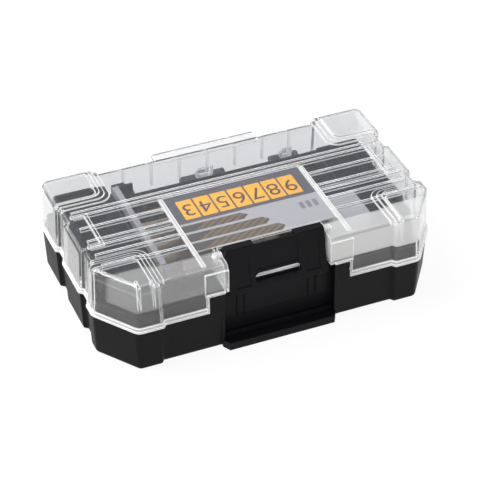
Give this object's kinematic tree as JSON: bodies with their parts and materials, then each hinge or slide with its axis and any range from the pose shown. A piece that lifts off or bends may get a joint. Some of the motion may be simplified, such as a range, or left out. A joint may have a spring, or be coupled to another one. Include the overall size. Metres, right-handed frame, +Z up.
{
  "type": "drill bit case",
  "caption": "Drill bit case with a black base, a clear hinged lid held by a front latch, a lift-up rack of twist drill bits and a side bin.",
  "frame": {"origin": "on the resting face, under the middle of the base's corner blocks", "axes": "+X along the length, -Y towards the latch, +Z up"},
  "size_m": [0.2116, 0.1284, 0.0613],
  "materials": {
    "base_black": "moulded polypropylene, fine satin texture",
    "lid_clear": "clear polished polycarbonate",
    "latch_black": "moulded acetal, satin",
    "pin_steel": "ground pin",
    "card_print": "coated card with plain printed bands",
    "rack_black": "moulded polypropylene",
    "strip_grey": "frosted light grey",
    "guard_frosted": "frosted light grey",
    "bin_black": "moulded polypropylene",
    "bit_steel": "bronze oxide on high speed steel"
  },
  "bodies": {
    "base": {"base_shell": "base_black", "side_bin": "bin_black", "hinge_pin_left": "pin_steel", "hinge_pin_centre": "pin_steel", "hinge_pin_right": "pin_steel"},
    "lid": {"lid_shell": "lid_clear", "label_card": "card_print", "latch_pin_left": "pin_steel", "latch_pin_right": "pin_steel"},
    "latch": {"latch_lever": "latch_black"},
    "rack": {"bit_rack": "rack_black", "end_strip": "strip_grey", "tip_guard": "guard_frosted", "drill_bit_9_0mm": "bit_steel", "drill_bit_8_0mm": "bit_steel", "drill_bit_7_0mm": "bit_steel", "drill_bit_6_0mm": "bit_steel", "drill_bit_5_0mm": "bit_steel", "drill_bit_4_0mm": "bit_steel", "drill_bit_3_0mm": "bit_steel", "drill_bit_2_5mm": "bit_steel", "drill_bit_2_0mm": "bit_steel", "drill_bit_1_5mm": "bit_steel"}
  },
  "joints": [
    {"name": "lid_hinge", "type": "hinge", "parent": "base", "child": "lid", "pos_m": [0, 0.0624, 0.03], "axis": [-1, 0, 0], "range_deg": [0, 105]},
    {"name": "latch_pivot", "type": "hinge", "parent": "lid", "child": "latch", "pos_m": [0, -0.046, 0.0554], "axis": [-1, 0, 0], "range_deg": [0, 100]},
    {"name": "rack_tilt", "type": "hinge", "parent": "base", "child": "rack", "pos_m": [-0.058, 0, 0.044], "axis": [0, -1, 0], "range_deg": [0, 31.5]}
  ],
  "couplings": [
    {"joint": "rack_tilt", "follows": "lid_hinge", "ratio": 0.3}
  ]
}
